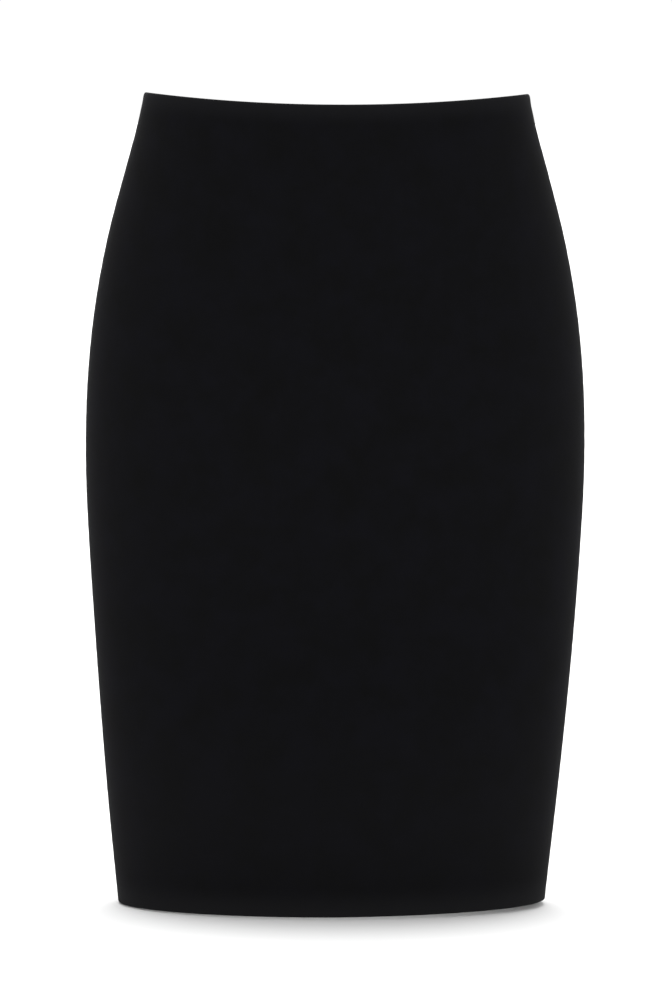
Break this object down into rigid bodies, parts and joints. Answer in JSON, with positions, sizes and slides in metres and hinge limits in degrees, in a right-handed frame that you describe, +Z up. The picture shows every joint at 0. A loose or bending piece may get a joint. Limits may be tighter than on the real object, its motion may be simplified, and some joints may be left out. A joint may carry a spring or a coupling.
{
  "type": "pencil skirt",
  "caption": "Knee-length fitted skirt, filled out and hollow, open at the waist and hem, with a lapped vent and a concealed zip at the centre back.",
  "frame": {"origin": "middle of the waist opening, level with the waist edge at the centre front, where the wearer's waist holds the skirt", "axes": "+Z up the skirt from hem to waist, +X to the wearer's left, -Y to the front"},
  "size_m": [0.369, 0.2467, 0.599],
  "materials": {
    "cloth": "matt black, fine close weave with a faint sheen where it turns away",
    "zip_tape": "black woven tape",
    "zip_coil": "black moulded coil",
    "zip_metal": "black enamel"
  },
  "bodies": {
    "skirt": {"front_panel": "cloth", "back_left_panel": "cloth", "back_right_panel": "cloth", "zip_tape_left": "zip_tape", "zip_tape_right": "zip_tape", "zip_coil": "zip_coil", "zip_bottom_stop": "zip_metal", "zip_slider": "zip_metal"},
    "pull_tab": {"zip_pull_tab": "zip_metal"}
  },
  "joints": [
    {"name": "pull_tab_turn", "type": "hinge", "parent": "skirt", "child": "pull_tab", "pos_m": [0, 0.10204, -0.01555], "axis": [1, 0, 0], "range_deg": [0, 170]}
  ]
}
